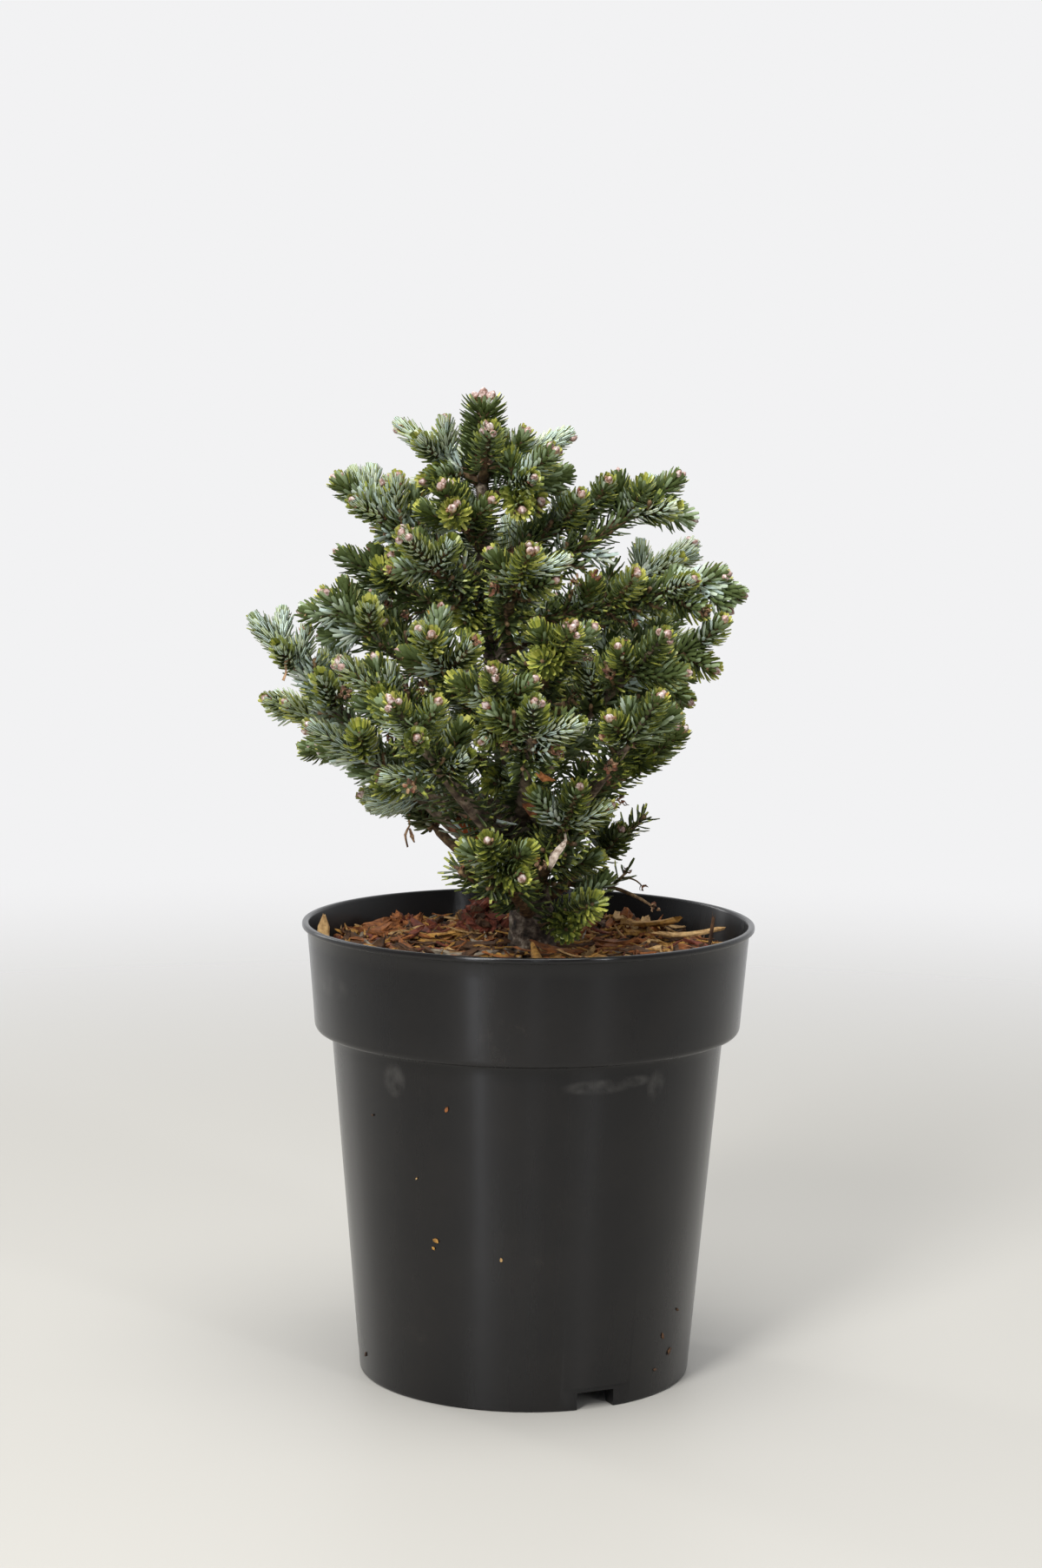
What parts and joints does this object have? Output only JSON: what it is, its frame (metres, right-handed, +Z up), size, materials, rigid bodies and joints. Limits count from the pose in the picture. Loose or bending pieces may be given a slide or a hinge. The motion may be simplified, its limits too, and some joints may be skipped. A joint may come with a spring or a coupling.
{
  "type": "potted korean fir",
  "caption": "Young Korean fir with a leaning trunk, upswept boughs and a dense rounded crown of needles, growing in a round black plastic nursery pot of bark mulch.",
  "frame": {"origin": "middle of the underside of the pot, on the surface it stands on", "axes": "+Z up along the pot's axis to the top of the tree, -Y the side that faces the viewer, +X to the viewer's right"},
  "size_m": [0.1873, 0.1751, 0.363],
  "materials": {
    "pot": "semi-gloss black moulded plastic with faint scuffs",
    "soil": "loose damp bark mulch, rust brown to tan",
    "bark": "grey-brown young bark with fine cross lines",
    "foliage": "short blunt needles, green above and silver-blue below, with pinkish resinous buds"
  },
  "bodies": {
    "root": {"bough_low_back": "bark", "bough_low_back_left": "bark", "bough_low_front": "bark", "bough_low_front_left": "bark", "bough_low_front_right": "bark", "bough_low_left": "bark", "bough_low_left_back": "bark", "bough_low_left_front": "bark", "bough_low_right_back": "bark", "bough_middle_back": "bark", "bough_middle_back_left": "bark", "bough_middle_front": "bark", "bough_middle_left": "bark", "bough_middle_right": "bark", "foliage_high_front_left": "foliage", "foliage_high_right": "foliage", "foliage_leader": "foliage", "foliage_low_back": "foliage", "foliage_low_back_left": "foliage", "foliage_low_front": "foliage", "foliage_low_front_left": "foliage", "foliage_low_front_right": "foliage", "foliage_low_left": "foliage", "foliage_low_left_back": "foliage", "foliage_low_left_front": "foliage", "foliage_low_right": "foliage", "foliage_low_right_back": "foliage", "foliage_middle_back": "foliage", "foliage_middle_back_left": "foliage", "foliage_middle_front": "foliage", "foliage_middle_front_left": "foliage", "foliage_middle_front_right": "foliage", "foliage_middle_left": "foliage", "foliage_middle_left_front": "foliage", "foliage_middle_right": "foliage", "foliage_middle_right_back": "foliage", "foliage_middle_right_side": "foliage", "foliage_skirt_back": "foliage", "foliage_skirt_front": "foliage", "foliage_skirt_front_right": "foliage", "foliage_skirt_left": "foliage", "foliage_skirt_low_right": "foliage", "foliage_skirt_right": "foliage", "foliage_top_back": "foliage", "foliage_top_front": "foliage", "foliage_top_front_right": "foliage", "foliage_top_left": "foliage", "foliage_top_right": "foliage", "foliage_upper_back": "foliage", "foliage_upper_back_left": "foliage", "foliage_upper_back_right": "foliage", "foliage_upper_front": "foliage", "foliage_upper_front_left": "foliage", "foliage_upper_left": "foliage", "foliage_upper_left_high": "foliage", "foliage_upper_right": "foliage", "foliage_upper_right_high": "foliage", "pot": "pot", "soil": "soil", "trunk": "bark"}
  },
  "joints": []
}
